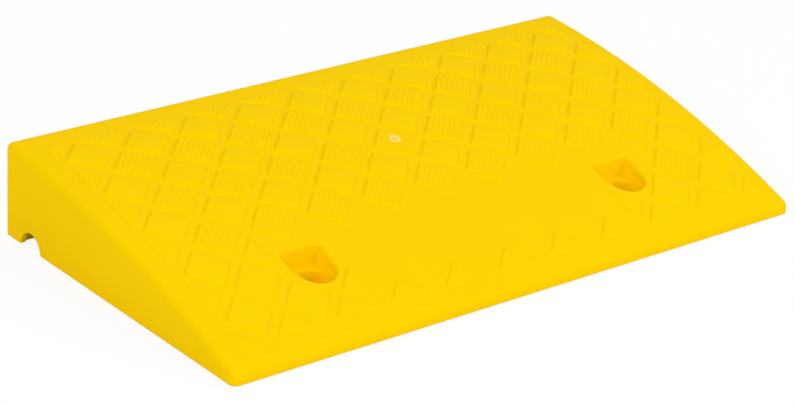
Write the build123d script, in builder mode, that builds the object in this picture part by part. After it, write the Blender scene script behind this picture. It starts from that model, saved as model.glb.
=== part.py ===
"""Plastic kerb ramp: a hollow ribbed moulding with an arched tread deck, on push-in rubber feet.

Sizes are in millimetres. X runs along the kerb, +Y climbs from the low lip to the high back, Z is up.
The ground is Z = 0, and the origin lies under the middle of the ramp.
"""

import os
from math import acos, atan, atan2, ceil, cos, degrees, hypot, sin, sqrt

from build123d import *

# Overall form
length = 500.0
width = 270.0
height = 70.0
lip_height = 9.5
deck_crown = 11.4
edge_radius = 5.0

# Walls and ribs of the moulding
wall = 4.0
deck_thickness = 4.0
front_land = 18.0
rib = 3.0
rib_cells_along = 12
rib_rows = 5

# Tread pads
side_margin = 16.0
front_margin = 15.0
tread_columns = 10
pad_side = 27.6
pad_height = 2.0
pad_flank = 1.2
pad_sink = 0.6
groove_count = 6
groove_width = 1.3
groove_depth = 0.5
gate_radius = 5.0
gate_pip_radius = 1.5
gate_off_centre = 1.8

# Bolt pockets
pocket_radius = 14.4
pocket_half = 16.5
pocket_back = 19.5
pocket_corner = 3.0
pocket_rim = 3.0
ledge_height = 22.0
bore_radius = 13.4
bore_floor = 8.0
bolt_hole_radius = 6.0

# Half-round cable channel through both side walls
channel_radius = 12.0
channel_from_back = 33.0
channel_rib_gap = 4.0

# Rubber feet and their sockets
foot_proud = 1.0
foot_head_radius = 9.0
foot_head_thickness = 3.0
foot_head_edge = 0.8
foot_stem_radius = 5.0
foot_stem_length = 7.0
foot_stem_lead = 1.0
foot_fit = 0.1
foot_head_gap = 0.5
foot_boss_wall = 2.0
foot_channel_gap = 1.5
foot_front_inset = 40.0
socket_end_gap = 1.0

# The deck is an arc in the YZ plane, from the lip's top to the back's top
rim = foot_proud
chord = hypot(width, height - lip_height)
chord_angle = atan2(height - lip_height, width)
deck_radius = (chord**2 / 4 + deck_crown**2) / (2 * deck_crown)
deck_centre_y = (deck_radius - deck_crown) * sin(chord_angle)
deck_centre_z = (lip_height + height) / 2 - (deck_radius - deck_crown) * cos(chord_angle)


def deck_z(y, depth=0.0):
    """Height of the deck at y, or of the surface that lies a depth below it."""
    return deck_centre_z + sqrt((deck_radius - depth) ** 2 - (y - deck_centre_y) ** 2)


def deck_plane(y, lift):
    """Plane that touches the deck along the line at y, raised by lift."""
    normal = (0, y - deck_centre_y, deck_z(y) - deck_centre_z)
    return Plane(origin=(0, y, deck_z(y)), x_dir=(1, 0, 0), z_dir=normal).offset(lift)


# Tread layout: rows half a pitch apart, plain pads on the odd rows and ribbed pads on the even ones
tread_pitch = (length - 2 * side_margin) / tread_columns
tread_rows = int((width - front_margin - side_margin) / tread_pitch)
last_row = 2 * tread_rows
field_half = tread_columns * tread_pitch / 2
row_y = [-width / 2 + front_margin + row * tread_pitch / 2 for row in range(last_row + 1)]
bare_half = {1: 2.5 * tread_pitch, 2: 3.5 * tread_pitch, 3: 3.5 * tread_pitch}
pad_growth = pad_sink * pad_flank / pad_height
groove_pitch = (pad_side - 2 * pad_flank + groove_width) / (groove_count + 1)
gate_row = 2 * ceil(tread_rows / 2)


def pad_columns(row):
    """X of each pad in a row, without the pads that the bare panel takes away."""
    first = -tread_columns / 2 + (row % 2) / 2
    count = tread_columns + 1 - row % 2
    columns = [(first + i) * tread_pitch for i in range(count)]
    return [x for x in columns if abs(x) > bare_half.get(row, 0) - pad_side / 4 or row not in bare_half]


# Places of the bolts, ribs and feet
bolt_spots = [(side * 3 * tread_pitch, row_y[2]) for side in (-1, 1)]
channel_y = width / 2 - channel_from_back
foot_boss_radius = foot_head_radius + foot_head_gap + foot_boss_wall
foot_front_y = -width / 2 + front_land + foot_front_inset
foot_back_y = channel_y - channel_radius - foot_channel_gap - foot_boss_radius
rib_pitch_along = (length - 2 * wall) / rib_cells_along
rib_pitch_across = (foot_back_y - foot_front_y) / (rib_rows - 1)
cross_rib_x = [(i - rib_cells_along / 2) * rib_pitch_along for i in range(1, rib_cells_along)]
long_rib_y = [foot_front_y + i * rib_pitch_across for i in range(rib_rows)]
long_rib_y.append(channel_y + channel_radius + channel_rib_gap)
foot_columns = {
    "left_outer": -5 * rib_pitch_along,
    "left_inner": -2 * rib_pitch_along,
    "right_inner": 2 * rib_pitch_along,
    "right_outer": 5 * rib_pitch_along,
}
foot_spots = {
    f"foot_{row}_{column}": (x, y)
    for row, y in (("front", foot_front_y), ("back", foot_back_y))
    for column, x in foot_columns.items()
}

# Outline of a bolt pocket: round in front, square and a little wider at the back, with sides that touch the
# front round and the corner rounds
corner_x = pocket_half - pocket_corner
corner_y = pocket_back - pocket_corner
side_lean = degrees(atan2(corner_y, corner_x) - acos((pocket_radius - pocket_corner) / hypot(corner_x, corner_y)))
with BuildSketch() as pocket:
    with BuildLine():
        front = CenterArc((0, 0), pocket_radius, 180 - side_lean, 180 + 2 * side_lean)
        right = CenterArc((corner_x, corner_y), pocket_corner, side_lean, 90 - side_lean)
        left = CenterArc((-corner_x, corner_y), pocket_corner, 90, 90 - side_lean)
        Line(front @ 1, right @ 0)
        Line(right @ 1, left @ 0)
        Line(left @ 1, front @ 0)
    make_face()

# Everything open from below: the space under the deck, less the ribs, bosses and pocket walls that stand
# in it, with the cable channel and the sockets of the feet
with BuildPart() as hollow:
    front_y = -width / 2 + front_land
    back_y = width / 2 - wall
    with BuildSketch(Plane.YZ):
        with BuildLine():
            Polyline(
                (front_y, deck_z(front_y, deck_thickness)),
                (front_y, 0),
                (back_y, 0),
                (back_y, deck_z(back_y, deck_thickness)),
            )
            ThreePointArc(
                (back_y, deck_z(back_y, deck_thickness)),
                (0, deck_z(0, deck_thickness)),
                (front_y, deck_z(front_y, deck_thickness)),
            )
        make_face()
    extrude(amount=length / 2 - wall, both=True)
    with BuildSketch():
        with Locations([(x, 0) for x in cross_rib_x]):
            Rectangle(rib, 2 * width)
        with Locations([(0, y) for y in long_rib_y]):
            Rectangle(2 * length, rib)
        with Locations(list(foot_spots.values())):
            Circle(foot_boss_radius)
        with Locations(bolt_spots):
            Circle(bore_radius + wall)
    extrude(amount=2 * height, mode=Mode.SUBTRACT)
    with BuildSketch(Plane.XY.offset(ledge_height - deck_thickness)):
        with Locations(bolt_spots):
            add(pocket.sketch)
        offset(amount=wall)
    extrude(amount=2 * height, mode=Mode.SUBTRACT)
    with BuildSketch(Plane.YZ):
        with Locations((channel_y, rim)):
            Circle(channel_radius)
    extrude(amount=length, both=True)
    with BuildSketch():
        with Locations(list(foot_spots.values())):
            Circle(foot_head_radius + foot_head_gap)
    extrude(amount=foot_head_thickness)
    with BuildSketch(Plane.XY.offset(foot_head_thickness)):
        with Locations(list(foot_spots.values())):
            Circle(foot_stem_radius + foot_fit)
    extrude(amount=foot_stem_length + socket_end_gap)

# Raised pads of the tread, with the half pads that the edge of the field and the bare panel cut
with BuildPart() as tread:
    for row, y in enumerate(row_y):
        plane = deck_plane(y, -pad_sink)
        stretch = 1 / plane.z_dir.Z
        half_diagonal = pad_side / sqrt(2) + pad_growth * sqrt(2)
        tall = half_diagonal * stretch
        with BuildSketch(plane):
            with Locations([(x, 0) for x in pad_columns(row)]):
                Polygon((half_diagonal, 0), (0, tall), (-half_diagonal, 0), (0, -tall))
            Rectangle(2 * (field_half + pad_growth), 4 * tall, mode=Mode.INTERSECT)
            if row in bare_half:
                Rectangle(2 * (bare_half[row] - pad_growth), 4 * tall, mode=Mode.SUBTRACT)
            if row == 0:
                with Locations((0, -pad_growth)):
                    Rectangle(4 * field_half, 4 * tall, align=(Align.CENTER, Align.MAX), mode=Mode.SUBTRACT)
            if row == last_row:
                with Locations((0, pad_growth)):
                    Rectangle(4 * field_half, 4 * tall, align=(Align.CENTER, Align.MIN), mode=Mode.SUBTRACT)
    extrude(amount=pad_height + pad_sink, taper=degrees(atan2(pad_flank, pad_height)))

    # Grooves in the ribbed pads, all along one diagonal, broken by the round scar of the moulding gate
    for row in range(0, last_row + 1, 2):
        plane = deck_plane(row_y[row], pad_height - groove_depth)
        stretch = 1 / plane.z_dir.Z
        steps = [(k - (groove_count - 1) / 2) * groove_pitch / sqrt(2) for k in range(groove_count)]
        with BuildSketch(plane):
            with Locations([(x - step, step * stretch) for x in pad_columns(row) for step in steps]):
                Rectangle(pad_side * stretch + pad_flank, groove_width, rotation=degrees(atan(stretch)))
            if row == gate_row:
                with Locations((gate_off_centre, gate_off_centre)):
                    Circle(gate_radius, mode=Mode.SUBTRACT)
                    Circle(gate_pip_radius)
    extrude(amount=groove_depth + pad_height, mode=Mode.SUBTRACT)

# Ramp body, one moulding
with BuildPart() as ramp_body:
    with BuildSketch(Plane.YZ):
        with BuildLine():
            Polyline((-width / 2, lip_height), (-width / 2, rim), (width / 2, rim), (width / 2, height))
            ThreePointArc((width / 2, height), (0, deck_z(0)), (-width / 2, lip_height))
        make_face()
    extrude(amount=length / 2, both=True)
    fillet(ramp_body.edges() - ramp_body.edges().group_by(Axis.Z)[0], edge_radius)
    add(hollow.part, mode=Mode.SUBTRACT)

    # Bolt pockets, counterbores and bolt holes
    with BuildSketch(Plane.XY.offset(ledge_height)):
        with Locations(bolt_spots):
            add(pocket.sketch)
    extrude(amount=height, mode=Mode.SUBTRACT)
    deck = ramp_body.faces().filter_by(GeomType.CYLINDER).sort_by(SortBy.AREA)[-1]
    fillet(deck.inner_wires().edges(), pocket_rim)
    with Locations([(x, y, ledge_height) for x, y in bolt_spots]):
        CounterBoreHole(bolt_hole_radius, bore_radius, ledge_height - bore_floor, depth=height)

    add(tread.part)

os.makedirs("parts", exist_ok=True)
ramp_body.part.label = "ramp_body"
export_step(ramp_body.part, "parts/ramp_body.step")

# Rubber feet: a round head on the ground, a stem in the socket
for name, spot in foot_spots.items():
    with BuildPart() as foot:
        with BuildSketch():
            with Locations(spot):
                Circle(foot_head_radius)
        extrude(amount=foot_head_thickness)
        fillet(foot.edges().sort_by(Axis.Z)[0], foot_head_edge)
        with BuildSketch(Plane.XY.offset(foot_head_thickness)):
            with Locations(spot):
                Circle(foot_stem_radius)
        extrude(amount=foot_stem_length)
        chamfer(foot.edges().sort_by(Axis.Z)[-1], foot_stem_lead)
    foot.part.label = name
    export_step(foot.part, f"parts/{name}.step")
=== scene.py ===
"""Looks of a yellow plastic kerb ramp on rubber feet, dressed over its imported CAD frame.

Shapes are worked out in millimetres as whole numpy arrays, and written to meshes in metres.
X runs along the kerb, +Y climbs from the low lip to the high back, Z is up, as in the frame.
"""

from math import asin, ceil, cos, radians, sin, sqrt

import bmesh
import bpy
import numpy as np
from mathutils import Matrix, Vector


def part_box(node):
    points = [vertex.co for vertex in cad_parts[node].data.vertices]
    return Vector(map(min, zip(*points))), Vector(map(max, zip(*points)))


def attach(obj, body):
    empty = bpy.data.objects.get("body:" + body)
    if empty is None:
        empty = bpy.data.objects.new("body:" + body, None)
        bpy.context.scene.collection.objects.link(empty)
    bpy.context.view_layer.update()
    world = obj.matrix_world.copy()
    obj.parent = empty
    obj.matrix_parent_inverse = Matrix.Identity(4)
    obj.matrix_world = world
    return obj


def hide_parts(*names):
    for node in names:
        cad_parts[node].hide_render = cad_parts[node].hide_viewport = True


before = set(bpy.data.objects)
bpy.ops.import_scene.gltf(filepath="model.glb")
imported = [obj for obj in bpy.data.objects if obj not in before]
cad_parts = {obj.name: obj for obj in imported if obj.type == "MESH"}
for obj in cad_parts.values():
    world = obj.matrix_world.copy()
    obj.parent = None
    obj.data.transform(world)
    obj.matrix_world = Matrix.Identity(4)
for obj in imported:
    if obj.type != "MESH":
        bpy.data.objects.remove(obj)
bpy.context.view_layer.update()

MM = 0.001

# Meshes: spacing of the shell's lines, gaps that close, places that count as one, inset of a round's middle
wide_step = 12.0
close_step = 4.0
block_steps = 16
weld_gap = 0.003
sliver = 0.001
same_place = 1.0
mid_round = 0.3

# Outer form, from the frame where its box gives it
body_low, body_high = (np.array(corner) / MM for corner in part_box("ramp_body"))
half_x, half_y = (body_high - body_low)[:2] / 2
rim = body_low[2]
back_height = 70.0
lip_height = 9.5
deck_crown = 11.4
edge_radius = 5.0
foot_edge_round = 0.8
wall = 4.0
deck_thickness = 4.0
front_land = 18.0

# Tread
side_margin = 16.0
front_margin = 15.0
tread_columns = 10
tread_rows = 5
pad_side = 27.6
pad_height = 1.6
pad_flank = 1.2
pad_soft = 0.35
pad_sink = 0.15
pad_depth = 0.9
groove_count = 6
groove_width = 1.3
groove_depth = 0.34
gate_row = 6
gate_radius = 5.0
gate_edge = 0.35
gate_sink = 0.3
gate_pip_radius = 2.4
gate_pip_depth = 0.2
gate_proud = 0.25
gate_off_centre = 1.8

# Bolt pockets
pocket_radius = 14.4
pocket_half = 16.5
pocket_back = 19.5
pocket_corner = 3.0
pocket_draft_side = 1.2
pocket_draft_back = 3.0
pocket_rim = 1.8
pocket_side_rim = 5.0
pocket_lead_in = 0.6
ledge_height = 23.5
ledge_round = 1.2
bore_radius = 13.4
bore_round = 2.0
bore_floor = 8.0
bolt_hole_radius = 6.0
bolt_hole_edge = 0.4
pocket_block = 26.0

# Cable channel in the side walls
channel_radius = 12.0
channel_flare = 2.0
channel_from_back = 33.0
channel_rib_gap = 4.0

# Ribs and foot bosses of the underside
rib = 3.0
rib_draft = 0.6
rib_round = 0.7
rib_cells_along = 12
rib_rows = 5
rib_bite = 1.0
boss_radius = 11.5
boss_draft = 0.3
boss_round = 0.7
foot_recess_radius = 9.5
foot_recess_edge = 0.4
foot_recess_top = 3.0
foot_socket_radius = 5.1
foot_socket_top = 11.0
foot_columns = (2, 5)

# The deck's arc in the YZ plane
chord = np.hypot(2 * half_y, back_height - lip_height)
slope = np.arctan2(back_height - lip_height, 2 * half_y)
arc_radius = (chord**2 / 4 + deck_crown**2) / (2 * deck_crown)
arc_y = (arc_radius - deck_crown) * np.sin(slope)
arc_z = (lip_height + back_height) / 2 - (arc_radius - deck_crown) * np.cos(slope)

# Places that follow from the sizes
tread_pitch = 2 * (half_x - side_margin) / tread_columns
half_pitch = tread_pitch / 2
row_y = -half_y + front_margin + np.arange(2 * tread_rows + 1) * half_pitch
pocket_y = row_y[2]
pocket_x = 3 * tread_pitch
half_pad = pad_side / 2 + pad_soft
pad_slope = pad_flank + 2 * pad_soft
groove_pitch = (pad_side - 2 * pad_flank + groove_width) / (groove_count + 1)
channel_y = half_y - channel_from_back
cavity_low = np.array([-half_x + wall, -half_y + front_land])
cavity_high = np.array([half_x - wall, half_y - wall])
rib_pitch = (cavity_high[0] - cavity_low[0]) / rib_cells_along
foot_low, foot_high = (np.array(corner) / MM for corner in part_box("foot_front_right_inner"))
foot_y = -(foot_low[1] + foot_high[1]) / 2


# Deck

def deck_height(y, depth=0.0):
    """Height at y of the deck's arc, or of the arc a depth under it: its centre's height plus its rise."""
    return arc_z + np.sqrt((arc_radius - depth) ** 2 - (y - arc_y) ** 2)


def on_deck(x, y, lift=0.0):
    """Points over plan places x, y on the deck's arc, moved out along the arc's normal by lift."""
    x, y, lift = np.broadcast_arrays(x, y, lift)
    z = deck_height(y)
    out_y = (y - arc_y) / arc_radius
    out_z = (z - arc_z) / arc_radius
    return np.stack([x, y + lift * out_y, z + lift * out_z], axis=-1)


def steps(start, stop, spacing):
    """Evenly spaced values from start to stop, at most spacing apart."""
    return np.linspace(start, stop, ceil(abs(stop - start) / spacing) + 1)


def joined(*runs):
    """Runs of values end to end, each shared end kept once."""
    return np.unique(np.round(np.concatenate(runs), 6))


def smooth(share):
    """A smooth S from 0 to 1: three times the square less twice the cube, flat outside that range."""
    share = np.clip(share, 0, 1)
    return share**2 * (3 - 2 * share)


# Meshes

def grid_faces(shape, start, keep=None):
    """Corner numbers of the faces between neighbours in a stack of grids (..., rows, columns)."""
    rows, columns = shape[-2:]
    number = start + np.arange(np.prod(shape)).reshape(-1, rows, columns)
    corners = (number[:, :-1, :-1], number[:, :-1, 1:], number[:, 1:, 1:], number[:, 1:, :-1])
    faces = np.stack(corners, axis=-1)
    return faces.reshape(-1, 4) if keep is None else faces[:, keep].reshape(-1, 4)


def make_piece(name, grids, material, sharp_degrees=50.0):
    """One smooth mesh from grids of points in millimetres, with shared edges welded and faces outwards.

    Each grid is an array (..., rows, columns, 3), or a pair of that and a mask of the faces to keep.
    """
    points, faces, start = [], [], 0
    for grid in grids:
        grid, keep = grid if isinstance(grid, tuple) else (grid, None)
        points.append(grid.reshape(-1, 3))
        faces.append(grid_faces(grid.shape[:-1], start, keep))
        start += len(points[-1])
    points = np.concatenate(points) * MM
    faces = np.concatenate(faces)
    mesh = bpy.data.meshes.new(name)
    mesh.vertices.add(len(points))
    mesh.vertices.foreach_set("co", points.astype(np.float32).ravel())
    mesh.loops.add(faces.size)
    mesh.loops.foreach_set("vertex_index", faces.astype(np.int32).ravel())
    mesh.polygons.add(len(faces))
    mesh.polygons.foreach_set("loop_start", np.arange(0, faces.size, 4, dtype=np.int32))
    mesh.update(calc_edges=True)
    mesh.validate()
    weld = bmesh.new()
    weld.from_mesh(mesh)
    bmesh.ops.remove_doubles(weld, verts=weld.verts, dist=weld_gap * MM)
    bmesh.ops.dissolve_degenerate(weld, edges=weld.edges, dist=sliver * MM)
    loose = [vert for vert in weld.verts if not vert.link_faces]
    bmesh.ops.delete(weld, geom=loose, context="VERTS")
    bmesh.ops.recalc_face_normals(weld, faces=weld.faces)
    weld.to_mesh(mesh)
    weld.free()
    mesh.polygons.foreach_set("use_smooth", np.ones(len(mesh.polygons), dtype=bool))
    mesh.set_sharp_from_angle(angle=radians(sharp_degrees))
    mesh.materials.append(material)
    piece = bpy.data.objects.new(name, mesh)
    bpy.context.scene.collection.objects.link(piece)
    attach(piece, "root")
    return piece


# Materials

def node_material(name):
    """A node material with its Principled shader, and a short way to add nodes with their settings."""
    material = bpy.data.materials.new(name)
    material.use_nodes = True
    tree = material.node_tree

    def add(kind, **settings):
        node = tree.nodes.new(kind)
        for key, value in settings.items():
            if key in node.inputs:
                node.inputs[key].default_value = value
            else:
                setattr(node, key, value)
        return node

    return material, tree, tree.nodes["Principled BSDF"], add


def tint_between(add, first, second):
    """A colour mix with its two ends set."""
    mix = add("ShaderNodeMix", data_type="RGBA")
    mix.inputs[6].default_value = (*first, 1.0)
    mix.inputs[7].default_value = (*second, 1.0)
    return mix


def spread(add, low, high, to_low, to_high):
    """A range map from low and high to to_low and to_high."""
    span = add("ShaderNodeMapRange")
    for socket, value in zip(("From Min", "From Max", "To Min", "To Max"), (low, high, to_low, to_high)):
        span.inputs[socket].default_value = value
    return span


def satin_plastic(name, first, second):
    """Moulded polyolefin: a slow drift between two tints, a gloss that varies, and a fine mould grain."""
    material, tree, shader, add = node_material(name)
    place = add("ShaderNodeTexCoord")
    drift = add("ShaderNodeTexNoise", Scale=11.0, Detail=4.0, Roughness=0.55)
    tint = tint_between(add, first, second)
    speck = add("ShaderNodeTexNoise", Scale=380.0, Detail=2.0, Roughness=0.6)
    gloss = spread(add, 0.3, 0.7, 0.44, 0.56)
    grain = add("ShaderNodeTexNoise", Scale=1500.0, Detail=3.0, Roughness=0.6)
    bump = add("ShaderNodeBump", Strength=0.05, Distance=0.0002)
    link = tree.links.new
    for texture in (drift, speck, grain):
        link(place.outputs["Object"], texture.inputs["Vector"])
    link(drift.outputs["Fac"], tint.inputs["Factor"])
    link(tint.outputs[2], shader.inputs["Base Color"])
    link(speck.outputs["Fac"], gloss.inputs["Value"])
    link(gloss.outputs["Result"], shader.inputs["Roughness"])
    link(grain.outputs["Fac"], bump.inputs["Height"])
    link(bump.outputs["Normal"], shader.inputs["Normal"])
    shader.inputs["IOR"].default_value = 1.49
    shader.inputs["Specular IOR Level"].default_value = 0.01
    shader.inputs["Specular Tint"].default_value = (1.0, 0.74, 0.08, 1.0)
    return material


def foot_rubber():
    """Black rubber: nearly matt, with a dusty drift of tone and a fine pebbled bump."""
    material, tree, shader, add = node_material("foot_rubber")
    place = add("ShaderNodeTexCoord")
    dust = add("ShaderNodeTexNoise", Scale=160.0, Detail=4.0, Roughness=0.6)
    tone = tint_between(add, (0.016, 0.016, 0.017), (0.042, 0.041, 0.039))
    pebble = add("ShaderNodeTexVoronoi", Scale=1100.0)
    bump = add("ShaderNodeBump", Strength=0.25, Distance=0.0002)
    link = tree.links.new
    link(place.outputs["Object"], dust.inputs["Vector"])
    link(place.outputs["Object"], pebble.inputs["Vector"])
    link(dust.outputs["Fac"], tone.inputs["Factor"])
    link(tone.outputs[2], shader.inputs["Base Color"])
    link(pebble.outputs["Distance"], bump.inputs["Height"])
    link(bump.outputs["Normal"], shader.inputs["Normal"])
    shader.inputs["Roughness"].default_value = 0.82
    return material


def gate_plastic(centre):
    """Plastic stretched pale at the moulding gate: a tan middle, a pale ring and a yellower edge."""
    material, tree, shader, add = node_material("gate_plastic")
    place = add("ShaderNodeTexCoord")
    shift = add("ShaderNodeMapping", vector_type="POINT")
    shift.inputs["Location"].default_value = [-value * MM for value in centre]
    away = add("ShaderNodeVectorMath", operation="LENGTH")
    ring = add("ShaderNodeValToRGB")
    reach = spread(add, 0.0, gate_radius * MM, 0.0, 1.0)
    stops = (
        (0.0, (0.81, 0.585, 0.13)),
        (0.34, (0.82, 0.60, 0.13)),
        (0.50, (0.94, 0.71, 0.14)),
        (0.86, (0.93, 0.69, 0.13)),
        (1.0, (0.90, 0.62, 0.04)),
    )
    ramp = ring.color_ramp
    while len(ramp.elements) < len(stops):
        ramp.elements.new(0.5)
    for element, (place_on, colour) in zip(ramp.elements, stops):
        element.position = place_on
        element.color = (*colour, 1.0)
    crack = add("ShaderNodeTexNoise", Scale=900.0, Detail=4.0, Roughness=0.65)
    bump = add("ShaderNodeBump", Strength=0.2, Distance=0.0003)
    link = tree.links.new
    link(place.outputs["Object"], shift.inputs["Vector"])
    link(shift.outputs["Vector"], away.inputs[0])
    link(away.outputs["Value"], reach.inputs["Value"])
    link(reach.outputs["Result"], ring.inputs["Fac"])
    link(ring.outputs["Color"], shader.inputs["Base Color"])
    link(place.outputs["Object"], crack.inputs["Vector"])
    link(crack.outputs["Fac"], bump.inputs["Height"])
    link(bump.outputs["Normal"], shader.inputs["Normal"])
    shader.inputs["Roughness"].default_value = 0.5
    shader.inputs["Specular IOR Level"].default_value = 0.05
    return material


yellow = satin_plastic("yellow_plastic", (0.925, 0.590, 0.0006), (0.945, 0.620, 0.0009))
# Painted light: the pads get a lighter copy of the yellow, so that the deck in the channels between them
# reads as shaded.
pad_yellow_painted_light = satin_plastic("pad_yellow_painted_light_plastic", (0.940, 0.602, 0.0006), (0.960, 0.632, 0.0009))
rubber = foot_rubber()


# Body shell: plan lines that every sheet of it shares

def channel_angles():
    """Reach of the flare at the channel's foot past the arch, and the angle at which the arch begins."""
    reach = sqrt((channel_radius + channel_flare) ** 2 - channel_flare**2) - channel_radius
    return reach, asin(channel_flare / (channel_radius + channel_flare))


def channel_lines(arch_steps=24, flare_steps=5):
    """Y of the samples along a side wall's foot at the channel: a flare, the arch, the flare mirrored."""
    reach, first = channel_angles()
    arch = channel_radius * np.cos(np.linspace(first, np.pi - first, arch_steps + 1))
    last = asin((channel_radius + reach - channel_radius * cos(first)) / channel_flare)
    flare = channel_radius + reach - channel_flare * np.sin(np.linspace(0, last, flare_steps + 1))
    return channel_y + joined(arch, flare, -flare)


def wall_foot(y):
    """Lower edge of a side wall at y: its height, and the direction (y, z) from the edge into the wall.

    Outside the channel it is the rim. Over the channel it is a half circle with a round flare at each end.
    """
    reach, first = channel_angles()
    off = y - channel_y
    span = np.abs(off)
    in_arch = span <= channel_radius * cos(first) + 1e-6
    in_flare = ~in_arch & (span < channel_radius + reach)
    arch_rise = np.sqrt(np.clip(channel_radius**2 - off**2, 0, None))
    past = np.clip(channel_radius + reach - span, 0, channel_flare)
    flare_rise = channel_flare - np.sqrt(channel_flare**2 - past**2)
    rise = np.where(in_arch, arch_rise, np.where(in_flare, flare_rise, 0.0))
    flare_y, flare_z = np.sign(off) * past / channel_flare, (channel_flare - flare_rise) / channel_flare
    into_y = np.where(in_arch, off / channel_radius, np.where(in_flare, flare_y, 0.0))
    into_z = np.where(in_arch, arch_rise / channel_radius, np.where(in_flare, flare_z, 1.0))
    return rim + rise, into_y, into_z


block_lines = np.linspace(-pocket_block, pocket_block, block_steps + 1)
deck_x = half_x - edge_radius
deck_y = half_y - edge_radius
channel_run = channel_lines()
lines_x = joined(
    steps(-deck_x, -pocket_x - pocket_block, wide_step),
    -pocket_x + block_lines,
    steps(-pocket_x + pocket_block, pocket_x - pocket_block, wide_step),
    pocket_x + block_lines,
    steps(pocket_x + pocket_block, deck_x, wide_step),
)
lines_y = joined(
    steps(-deck_y, cavity_low[1], close_step),
    steps(cavity_low[1], pocket_y - pocket_block, close_step),
    pocket_y + block_lines,
    steps(pocket_y + pocket_block, channel_run[0], close_step),
    channel_run,
    steps(channel_run[-1], deck_y, close_step),
)


def outside_pockets(x, y):
    """Mask of the faces between lines x and y that lie outside the square block round each pocket."""
    mid_x = (x[:-1] + x[1:]) / 2
    mid_y = (y[:-1] + y[1:]) / 2
    near_x = np.abs(np.abs(mid_x) - pocket_x) < pocket_block
    near_y = np.abs(mid_y - pocket_y) < pocket_block
    return ~(near_y[:, None] & near_x[None, :])


def deck_sheet():
    """The deck inside its rounded edge: the arc over a grid of plan lines, open at the pockets."""
    x, y = np.meshgrid(lines_x, lines_y)
    return on_deck(x, y), outside_pockets(lines_x, lines_y)


def ceiling_sheet():
    """The deck's underside: the arc a deck thickness down, over the cavity's plan, open at the pockets."""
    ceiling_x = joined([cavity_low[0]], lines_x, [cavity_high[0]])
    ceiling_y = joined(lines_y[lines_y >= cavity_low[1] - 1e-6], [cavity_high[1]])
    x, y = np.meshgrid(ceiling_x, ceiling_y)
    sheet = np.stack([x, y, deck_height(y, deck_thickness)], axis=-1)
    return sheet, outside_pockets(ceiling_x, ceiling_y)


def plan_outline(corner_steps=8):
    """Samples round the plan, side by side: the inner end of the edge round, and the direction outwards."""
    turn = np.linspace(0, np.pi / 2, corner_steps + 1)[1:-1]
    runs = (
        (np.stack([lines_x, np.full_like(lines_x, -deck_y)], -1), (0, -1)),
        (np.stack([np.full_like(lines_y, deck_x), lines_y], -1), (1, 0)),
        (np.stack([lines_x[::-1], np.full_like(lines_x, deck_y)], -1), (0, 1)),
        (np.stack([np.full_like(lines_y, -deck_x), lines_y[::-1]], -1), (-1, 0)),
    )
    base, out = [], []
    for quarter, (run, direction) in enumerate(runs):
        base.append(run)
        out.append(np.tile(np.array(direction, float), (len(run), 1)))
        angle = turn + (quarter - 1) * np.pi / 2
        base.append(np.repeat(run[-1:], len(turn), axis=0))
        out.append(np.stack([np.cos(angle), np.sin(angle)], -1))
    base, out = np.concatenate(base), np.concatenate(out)
    return np.concatenate([base, base[:1]]), np.concatenate([out, out[:1]])


def skirt_sheet(fillet_steps=8, wall_steps=4, round_steps=3):
    """Edge round, walls, rim and inner walls: one profile carried round the plan outline.

    The profile leaves the deck on a quarter round, drops to the wall's foot, turns in on a small round,
    crosses the rim to the cavity's edge and climbs to the ceiling. Over the channel the foot is the arch.
    """
    base, out = plan_outline()
    on_side = np.abs(out[:, 0]) > 0.999
    foot_z, into_y, into_z = wall_foot(base[:, 1])
    foot_z = np.where(on_side, foot_z, rim)
    into_y = np.where(on_side, into_y, 0.0)
    into_z = np.where(on_side, into_z, 1.0)
    rows = []
    for angle in np.linspace(0, np.pi / 2, fillet_steps + 1):
        plan = base + out * edge_radius * sin(angle)
        rows.append(np.column_stack([plan, deck_height(plan[:, 1]) - edge_radius * (1 - cos(angle))]))
    top = rows[-1]
    for angle in np.linspace(0, np.pi / 2, round_steps + 1):
        inset = foot_edge_round * (1 - cos(angle))
        along = foot_edge_round * (1 - sin(angle))
        plan = base + out * (edge_radius - inset)
        plan[:, 1] += into_y * along
        row = np.column_stack([plan, foot_z + into_z * along])
        if angle == 0:
            rows += [top + (row - top) * share for share in np.linspace(0, 1, wall_steps + 1)[1:-1]]
        rows.append(row)
    inner = np.clip(base + 2 * edge_radius * out, cavity_low, cavity_high)
    rows.append(np.column_stack([inner, foot_z]))
    rows.append(np.column_stack([inner, deck_height(inner[:, 1], deck_thickness)]))
    return np.array(rows)


# Bolt pockets

def block_outline():
    """Plan points round a pocket's square block, from its front left corner, on the deck's own lines."""
    run = block_lines
    low, high = np.full_like(run, -pocket_block), np.full_like(run, pocket_block)
    sides = ((run, low), (high, run), (run[::-1], high), (low, run[::-1]))
    points = np.concatenate([np.stack(side, -1)[:-1] for side in sides])
    return np.concatenate([points, points[:1]])


def pocket_reach(ray, grow=0.0, draft=0.0, facings=1440):
    """Distance from the bolt's axis along unit rays to the pocket's outline, grown outwards by grow.

    The outline is the hull of a large circle in front and a small one in each back corner. Its farthest
    reach in a direction is the most that any circle's centre and radius give. A ray ends at the least of
    these reaches over the cosine between the ray and the direction. A draft of 1 gives the ledge's outline.
    """
    corner_x = pocket_half - pocket_corner - draft * pocket_draft_side
    corner_y = pocket_back - pocket_corner - draft * pocket_draft_back
    angle = np.linspace(0, 2 * np.pi, facings + 1)[:-1]
    facing = np.stack([np.cos(angle), np.sin(angle)])
    behind = np.abs(corner_x * facing[0]) + corner_y * facing[1] + pocket_corner
    cosine = ray @ facing
    least_cosine = 0.05
    reach = (np.maximum(pocket_radius, behind) + grow) / np.maximum(cosine, least_cosine)
    return np.where(cosine > least_cosine, reach, np.inf).min(axis=1)


def bend(first, corner, last, count):
    """Rows of points on a quadratic curve from first to last that heads for corner at both ends."""
    share = np.linspace(0, 1, count)[:, None, None]
    return (1 - share) ** 2 * first + 2 * share * (1 - share) * corner + share**2 * last


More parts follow.
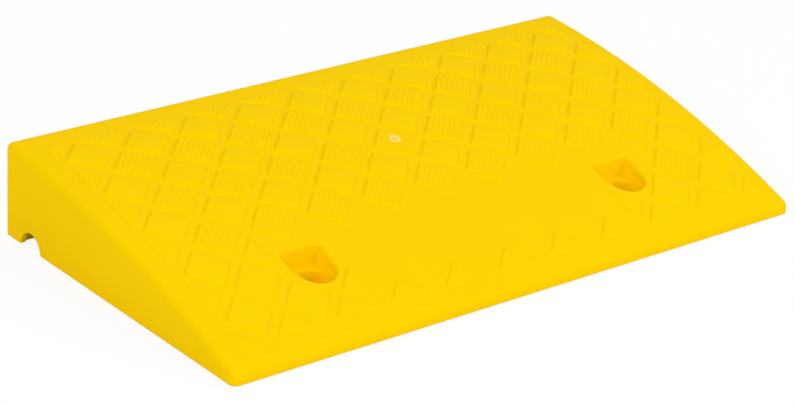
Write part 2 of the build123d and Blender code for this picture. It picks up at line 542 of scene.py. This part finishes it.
def pocket_sheet(centre_x):
    """A bolt pocket with its counterbore, hole and boss: one profile carried round the pocket's outline.

    From the block's edge on the deck it bends over the rim, slopes to the ledge, bends into it, goes down
    the counterbore and the bolt hole, comes out under the boss and climbs outside it to the ceiling.
    The rim is tight in front and at the back, and softer where the outline faces sideways.
    """
    block = block_outline()
    far = np.linalg.norm(block, axis=1)
    ray = block / far[:, None]

    def row(reach, height=None, depth=0.0):
        plan = ray * np.broadcast_to(reach, far.shape)[:, None] + (centre_x, pocket_y)
        z = deck_height(plan[:, 1], depth) if height is None else np.broadcast_to(height, far.shape)
        return np.column_stack([plan, z])

    top, foot, outside = pocket_reach(ray), pocket_reach(ray, draft=1.0), pocket_reach(ray, wall)
    mouth, heel = row(top), row(foot, ledge_height)
    slant = np.linalg.norm(mouth - heel, axis=1)[:, None]
    down = (heel - mouth) / slant
    sideways, blend, most_of_wall = 0.7, 0.25, 0.45
    soft = smooth((np.abs(ray[:, 0]) - sideways) / blend)
    rim_size = pocket_rim + (pocket_side_rim - pocket_rim) * soft
    over = np.minimum(rim_size[:, None], most_of_wall * slant)
    cove, lead = (np.minimum(size, (foot - bore_radius) / 2) for size in (ledge_round, bore_round))
    rows = [
        row(far)[None],
        row(top + over[:, 0] + pocket_lead_in)[None],
        bend(row(top + over[:, 0]), mouth, mouth + over * down, count=8),
        bend(heel - cove[:, None] * down, heel, row(foot - cove, ledge_height), count=6),
        bend(row(bore_radius + lead, ledge_height), row(bore_radius, ledge_height),
             row(bore_radius, ledge_height - lead), count=5),
    ]
    under = ledge_height - deck_thickness
    profile = (
        (bore_radius, bore_floor + bore_round),
        (bore_radius - mid_round * bore_round, bore_floor + mid_round * bore_round),
        (bore_radius - bore_round, bore_floor),
        (bolt_hole_radius + bolt_hole_edge, bore_floor),
        (bolt_hole_radius, bore_floor - bolt_hole_edge),
        (bolt_hole_radius, rim),
        (bore_radius + wall, rim),
        (bore_radius + wall, under),
        (outside, under),
    )
    rows += [row(reach, height)[None] for reach, height in profile]
    rows += [row(outside, depth=deck_thickness)[None], row(far, depth=deck_thickness)[None]]
    return np.concatenate(rows)


shell_sheets = [deck_sheet(), ceiling_sheet(), skirt_sheet()]
shell_sheets += [pocket_sheet(side * pocket_x) for side in (-1, 1)]
ramp_shell = make_piece("ramp_shell", shell_sheets, yellow)
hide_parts("ramp_body")


# Tread pads: squares set on a corner, with u along the grooves' diagonal and v across it

def tread_places(ribbed):
    """Plan centres of the ribbed or plain pads, each with the side of it that is kept in x and in y.

    A pad on the edge of the field or of the bare panel keeps a half, one at the field's corner a quarter.
    """
    bare_half = {1: 2.5 * tread_pitch, 2: 3.5 * tread_pitch, 3: 3.5 * tread_pitch}
    field_x = tread_columns * half_pitch
    places = []
    for row in range(0 if ribbed else 1, 2 * tread_rows + 1, 2):
        for column in range(-tread_columns + row % 2, tread_columns + 1, 2):
            x = column * half_pitch
            edge = bare_half.get(row, -1.0)
            if abs(x) < edge - same_place:
                continue
            keep_x = -np.sign(x) if abs(abs(x) - field_x) < same_place else 0
            keep_x = np.sign(x) if abs(abs(x) - edge) < same_place else keep_x
            keep_y = 1 if row == 0 else -1 if row == 2 * tread_rows else 0
            places.append((x, row_y[row], int(keep_x), keep_y))
    return places


def pad_lines(ribbed):
    """Lines across a pad: close together on its two flanks, and on both shoulders of each groove."""
    near = pad_slope * np.array([0, 0.15, 0.35, 0.55, 0.8, 1.1, 1.5])
    runs = [near - half_pad, half_pad - near, [0.0]]
    if ribbed:
        shoulders = groove_width * np.array([-0.9, -0.7, -0.5, -0.3, -0.1, 0.1, 0.3, 0.5, 0.7, 0.9])
        runs += [(k - (groove_count - 1) / 2) * groove_pitch + shoulders for k in range(groove_count)]
    return joined(*runs)


def groove_share(v):
    """How far v lies in a groove: 1 on its floor, 0 on the ribs, a smooth S on the shoulders between."""
    k = np.clip(np.round(v / groove_pitch + (groove_count - 1) / 2), 0, groove_count - 1)
    off = np.abs(v - (k - (groove_count - 1) / 2) * groove_pitch) / groove_width
    floor, shoulder = 0.1, 0.8
    return 1 - smooth((off - floor) / shoulder)


def pad_sheet(keep_x, keep_y, ribbed):
    """A pad's plan points and lifts: lines v across it, each a run of u between the kept part's two edges.

    The lift rises on a smooth S with the distance to the edges. Corners are rounded by taking the sum of
    two distances less the root of their squares' sum. Grooves cut what stands above their floor.
    """
    v = pad_lines(ribbed)
    first, last = np.full_like(v, -half_pad), np.full_like(v, half_pad)
    first = np.maximum.reduce([first, v if keep_x > 0 else first, -v if keep_y > 0 else first])
    last = np.minimum.reduce([last, v if keep_x < 0 else last, -v if keep_y < 0 else last])
    inside = last >= first - 1e-9
    v, first, last = v[inside, None], first[inside, None], last[inside, None]
    near = pad_slope * np.array([0, 0.2, 0.45, 0.75, 1.1, 1.5, 2.1])
    both_ends = 2.2 * near[-1]
    near = near * np.minimum(1, (last - first) / both_ends)
    u = np.concatenate([first + near, (first + last) / 2, (last - near)[:, ::-1]], axis=1)
    v = np.broadcast_to(v, u.shape)
    x, y = (u - v) / sqrt(2), (u + v) / sqrt(2)
    gaps = [half_pad - u, half_pad + u, half_pad - v, half_pad + v]
    gaps += [keep_x * x] if keep_x else []
    gaps += [keep_y * y] if keep_y else []
    gap = gaps[0]
    for other in gaps[1:]:
        gap = gap + other - np.hypot(gap, other)
    lift = (pad_height + pad_sink) * smooth(gap / pad_slope) - pad_sink
    if ribbed:
        lift = lift - groove_share(v) * np.clip(lift - (pad_height - groove_depth), 0, None)
    return x, y, lift


def pad_grids(ribbed):
    """Closed shells of all pads of a kind: the sheet, and under it a skirt that draws in to one point."""
    places = tread_places(ribbed)
    grids = []
    for kept in sorted({place[2:] for place in places}):
        at = np.array([place[:2] for place in places if place[2:] == kept])
        x, y, lift = pad_sheet(*kept, ribbed)
        edge = [np.concatenate([f[0], f[1:, -1], f[-1, -2::-1], f[-2::-1, 0]]) for f in (x, y, lift)]
        middle = [np.full_like(edge[0], edge[0].mean()), np.full_like(edge[1], edge[1].mean())]
        under = [np.stack([edge[axis], edge[axis], middle[axis]]) for axis in (0, 1)]
        drop = np.stack([edge[2], np.full_like(edge[2], -pad_depth), np.full_like(edge[2], -pad_depth)])
        for plan_x, plan_y, rise in ((x, y, lift), (*under, drop)):
            grids.append(on_deck(at[:, :1, None] + plan_x, at[:, 1:, None] + plan_y, rise))
    return grids


# The pads' lighter yellow is painted light: it stands in for the shade in the channels between the pads.
make_piece("tread_pads_plain", pad_grids(False), pad_yellow_painted_light)
make_piece("tread_pads_ribbed", pad_grids(True), pad_yellow_painted_light)


# Scar of the moulding gate

def gate_grid(turns=40):
    """A low disc with a rounded edge and a dimple: a profile of radius and lift turned about its centre."""
    low, top = pad_height - groove_depth - gate_sink, pad_height + gate_proud
    edge = np.linspace(0, np.pi / 2, 5)
    rim_r, rim_l = gate_radius - gate_edge * (1 - np.cos(edge)), top - gate_edge * (1 - np.sin(edge))
    pip = np.linspace(1, 0, 7)
    steepness, ring = 1.25, 1.5
    pip_r, pip_l = gate_pip_radius * pip, top - gate_pip_depth * smooth(steepness * (1 - pip))
    radius = np.concatenate([[0, gate_radius], rim_r, [gate_pip_radius * ring], pip_r])
    lift = np.concatenate([[low, low], rim_l, [top], pip_l])
    angle = np.linspace(0, 2 * np.pi, turns + 1)
    x = gate_off_centre + radius[:, None] * np.cos(angle)
    y = row_y[gate_row] + gate_off_centre + radius[:, None] * np.sin(angle)
    return on_deck(x, y, lift[:, None])


gate_centre = on_deck(gate_off_centre, row_y[gate_row] + gate_off_centre, pad_height)
make_piece("gate_scar", [gate_grid()], gate_plastic(gate_centre))


# Underside: ribs and the bosses of the feet

def spans(start, stop, gaps):
    """What is left of a run from start to stop once the gaps (low, high) are taken out of it."""
    edges = sorted(gap for gap in gaps if start < gap[0] < stop)
    lows = [start] + [high for _, high in edges]
    highs = [low for low, _ in edges] + [stop]
    return list(zip(lows, highs))


def rib_bar(run, at, low, high, lengthwise):
    """A closed rib: a tapered section with rounded lower edges, carried along a run at a fixed offset.

    low and high are the heights of its lower edge and of its buried top along the run.
    """
    wide, narrow = (rib + rib_draft) / 2, (rib - rib_draft) / 2
    turn = np.array([0, np.pi / 4, np.pi / 2])
    half = np.concatenate([[wide], narrow - rib_round * (1 - np.cos(turn))])
    rise = np.concatenate([[0], rib_round * (1 - np.sin(turn))])
    buried = np.array([1, 0, 0, 0])
    side = np.concatenate([half, -half[::-1], half[:1]])
    rise = np.concatenate([rise, rise[::-1], rise[:1]])
    buried = np.concatenate([buried, buried[::-1], buried[:1]])
    low, high = np.broadcast_to(low, run.shape)[:, None], np.broadcast_to(high, run.shape)[:, None]
    z = np.where(buried, high, low + rise)
    along, beside = np.broadcast_arrays(run[:, None], at + side)
    grid = np.stack([along, beside, z] if lengthwise else [beside, along, z], axis=-1)
    first, last = (np.broadcast_to(end.mean(axis=0), end.shape)[None] for end in (grid[0], grid[-1]))
    return np.concatenate([first, grid, last])


def under_ribs():
    """Ribs along and across the cavity, broken at the foot bosses and lower under the bolt pockets."""
    start, stop = cavity_low - rib_bite, cavity_high + rib_bite
    boss_gap = foot_recess_radius + rib_bite
    ledge = ledge_height - deck_thickness / 2
    bars = []

    def lengthwise(y, first, last, top=None):
        high = deck_height(y, deck_thickness - rib_bite) if top is None else top
        bars.append(rib_bar(np.array([first, last]), y, rim, high, True))

    def crosswise(x, first, last, top=None):
        run = joined([first], lines_y[(lines_y > first) & (lines_y < last)], [last])
        high = deck_height(run, deck_thickness - rib_bite) if top is None else top
        bars.append(rib_bar(run, x, wall_foot(run)[0], high, False))

    feet_x = [sign * count * rib_pitch for sign in (-1, 1) for count in foot_columns]
    feet_gaps = [(x - boss_gap, x + boss_gap) for x in feet_x]
    long_y = np.append(np.linspace(-foot_y, foot_y, rib_rows), channel_y + channel_radius + channel_rib_gap)
    for y in long_y:
        gaps = list(feet_gaps) if abs(abs(y) - foot_y) < same_place else []
        off = abs(y - pocket_y)
        if off < bore_radius:
            reach = sqrt((pocket_radius + wall / 2) ** 2 - off**2)
            boss = sqrt((bore_radius + wall / 2) ** 2 - off**2)
            for x in (-pocket_x, pocket_x):
                gaps.append((x - reach, x + reach))
                lengthwise(y, x - reach - rib_bite, x - boss, ledge)
                lengthwise(y, x + boss, x + reach + rib_bite, ledge)
        for first, last in spans(start[0], stop[0], gaps):
            lengthwise(y, first, last)

    for column in range(1 - rib_cells_along // 2, rib_cells_along // 2):
        x = column * rib_pitch
        gaps = []
        if abs(column) in foot_columns:
            gaps = [(y - boss_gap, y + boss_gap) for y in (-foot_y, foot_y)]
        off = abs(abs(x) - pocket_x) - rib / 2
        if off < pocket_half:
            first = pocket_y - sqrt((pocket_radius + wall / 2) ** 2 - off**2)
            last = pocket_y + pocket_back + wall / 2
            gaps.append((first, last))
            crosswise(x, first - rib_bite, last + rib_bite, ledge)
        for first, last in spans(start[1], stop[1], gaps):
            crosswise(x, first, last)
    return bars


def foot_boss_grid(turns=40):
    """The feet's bosses: a tapered tube with a recess and a socket, a profile turned about each foot.

    A point of the profile with no height of its own is buried in the deck and follows its underside.
    """
    narrow = boss_radius - boss_draft
    profile = np.array([
        (0, np.nan),
        (boss_radius, np.nan),
        (narrow, rim + boss_round),
        (narrow - mid_round * boss_round, rim + mid_round * boss_round),
        (narrow - boss_round, rim),
        (foot_recess_radius + foot_recess_edge, rim),
        (foot_recess_radius, rim + foot_recess_edge),
        (foot_recess_radius, foot_recess_top),
        (foot_socket_radius, foot_recess_top),
        (foot_socket_radius, foot_socket_top),
        (0, foot_socket_top),
    ])
    angle = np.linspace(0, 2 * np.pi, turns + 1)
    x = profile[:, :1] * np.cos(angle)
    y = profile[:, :1] * np.sin(angle)
    signs = (-1, 1)
    at = np.array([(s * n * rib_pitch, t * foot_y) for n in foot_columns for s in signs for t in signs])
    x, y = at[:, :1, None] + x, at[:, 1:, None] + y
    z = np.broadcast_to(profile[:, 1:], x.shape)
    z = np.where(np.isnan(z), deck_height(y, deck_thickness - rib_bite), z)
    return np.stack([x, y, z], axis=-1)


make_piece("under_ribs", under_ribs(), yellow)
make_piece("foot_bosses", [foot_boss_grid()], yellow)


# Feet

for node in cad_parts.values():
    if node.name.startswith("foot_"):
        node.data.materials.clear()
        node.data.materials.append(rubber)


# Studio

def camera_frame(yaw, pitch, roll):
    """Camera axes from a level yaw from +Y towards +X, a pitch down and a roll, as a rotation matrix."""
    level = Vector((sin(yaw), cos(yaw), 0))
    right = Vector((cos(yaw), -sin(yaw), 0))
    ahead = level * cos(pitch) - Vector((0, 0, sin(pitch)))
    down = ahead.cross(right)
    turned_right = right * cos(roll) + down * sin(roll)
    turned_down = down * cos(roll) - right * sin(roll)
    return Matrix((turned_right, -turned_down, -ahead)).transposed()


def place_camera():
    """The photograph's view, fitted to the ramp's outline and tread: a long lens from the left front."""
    frame_width = 795
    focal_pixels = 2708.2
    data = bpy.data.cameras.new("camera")
    data.sensor_fit = "HORIZONTAL"
    data.sensor_width = 36.0
    data.lens = data.sensor_width * focal_pixels / frame_width
    camera = bpy.data.objects.new("camera", data)
    turn = camera_frame(yaw=radians(40.447), pitch=radians(24.054), roll=radians(-3.624))
    eye = Vector((-1.1440, -1.3295, 0.7999))
    camera.matrix_world = Matrix.Translation(eye) @ turn.to_4x4()
    bpy.context.scene.collection.objects.link(camera)
    bpy.context.scene.camera = camera


def soft_box(name, azimuth, elevation, size, power):
    """A square soft box far off that faces the ramp: its bearing from the front towards +X and its rise."""
    target = Vector((0, -0.02, 0.03))
    distance = 6.0
    turn, rise = radians(azimuth), radians(elevation)
    away = Vector((sin(turn) * cos(rise), -cos(turn) * cos(rise), sin(rise)))
    data = bpy.data.lights.new(name, "AREA")
    data.shape = "SQUARE"
    data.size = size
    data.energy = power
    light = bpy.data.objects.new(name, data)
    light.location = target + distance * away
    light.rotation_mode = "QUATERNION"
    light.rotation_quaternion = (-away).to_track_quat("-Z", "Y")
    bpy.context.scene.collection.objects.link(light)


def seen_directly(tree):
    """1 for rays from the camera, from mirrors and through glass, 0 for those that light the object."""
    path = tree.nodes.new("ShaderNodeLightPath")
    total = path.outputs["Is Camera Ray"]
    for kind in ("Is Glossy Ray", "Is Transmission Ray"):
        larger = tree.nodes.new("ShaderNodeMath")
        larger.operation = "MAXIMUM"
        tree.links.new(total, larger.inputs[0])
        tree.links.new(path.outputs[kind], larger.inputs[1])
        total = larger.outputs[0]
    return total


def white_world(fill):
    """A white surround where it is seen, and a dimmer white fill on the object."""
    world = bpy.data.worlds.new("surround")
    world.use_nodes = True
    tree = world.node_tree
    background = tree.nodes["Background"]
    background.inputs["Color"].default_value = (1, 1, 1, 1)
    strength = tree.nodes.new("ShaderNodeMapRange")
    strength.inputs["To Min"].default_value = fill
    strength.inputs["To Max"].default_value = 1.0
    tree.links.new(seen_directly(tree), strength.inputs["Value"])
    tree.links.new(strength.outputs["Result"], background.inputs["Strength"])
    bpy.context.scene.world = world


def pale_floor(tone, shadow_share):
    """A wide floor: white where it is seen, with a share of real shading that keeps the ramp's shadow.

    The light it throws back on the ramp is that of a pale grey of the given tone.
    """
    half = 6.0
    mesh = bpy.data.meshes.new("floor")
    corners = [(-half, -half, 0), (half, -half, 0), (half, half, 0), (-half, half, 0)]
    mesh.from_pydata(corners, [], [(0, 1, 2, 3)])
    material = bpy.data.materials.new("floor_white")
    material.use_nodes = True
    tree = material.node_tree
    tree.nodes.remove(tree.nodes["Principled BSDF"])
    seen = seen_directly(tree)

    def when_seen(unseen_value, seen_value):
        share = tree.nodes.new("ShaderNodeMapRange")
        share.inputs["To Min"].default_value = unseen_value
        share.inputs["To Max"].default_value = seen_value
        tree.links.new(seen, share.inputs["Value"])
        return share.outputs["Result"]

    matt = tree.nodes.new("ShaderNodeBsdfDiffuse")
    white = tree.nodes.new("ShaderNodeEmission")
    white.inputs["Color"].default_value = (1, 1, 1, 1)
    mix = tree.nodes.new("ShaderNodeMixShader")
    link = tree.links.new
    link(when_seen(tone, 1.0), matt.inputs["Color"])
    link(when_seen(0.0, 1.0 - shadow_share), mix.inputs["Fac"])
    link(matt.outputs["BSDF"], mix.inputs[1])
    link(white.outputs["Emission"], mix.inputs[2])
    link(mix.outputs["Shader"], tree.nodes["Material Output"].inputs["Surface"])
    mesh.materials.append(material)
    floor = bpy.data.objects.new("floor", mesh)
    bpy.context.scene.collection.objects.link(floor)


place_camera()
white_world(fill=0.225)
soft_box("key", azimuth=20, elevation=29, size=2.1, power=91.5)
soft_box("low_key", azimuth=45, elevation=22, size=2.1, power=72.0)
soft_box("left_fill", azimuth=-45, elevation=35, size=3.8, power=84.5)
soft_box("side_fill", azimuth=-88, elevation=40, size=3.8, power=158.0)
soft_box("back_fill", azimuth=125, elevation=49, size=3.8, power=95.0)
pale_floor(tone=0.84, shadow_share=0.1)
bpy.context.scene.view_settings.view_transform = "Standard"
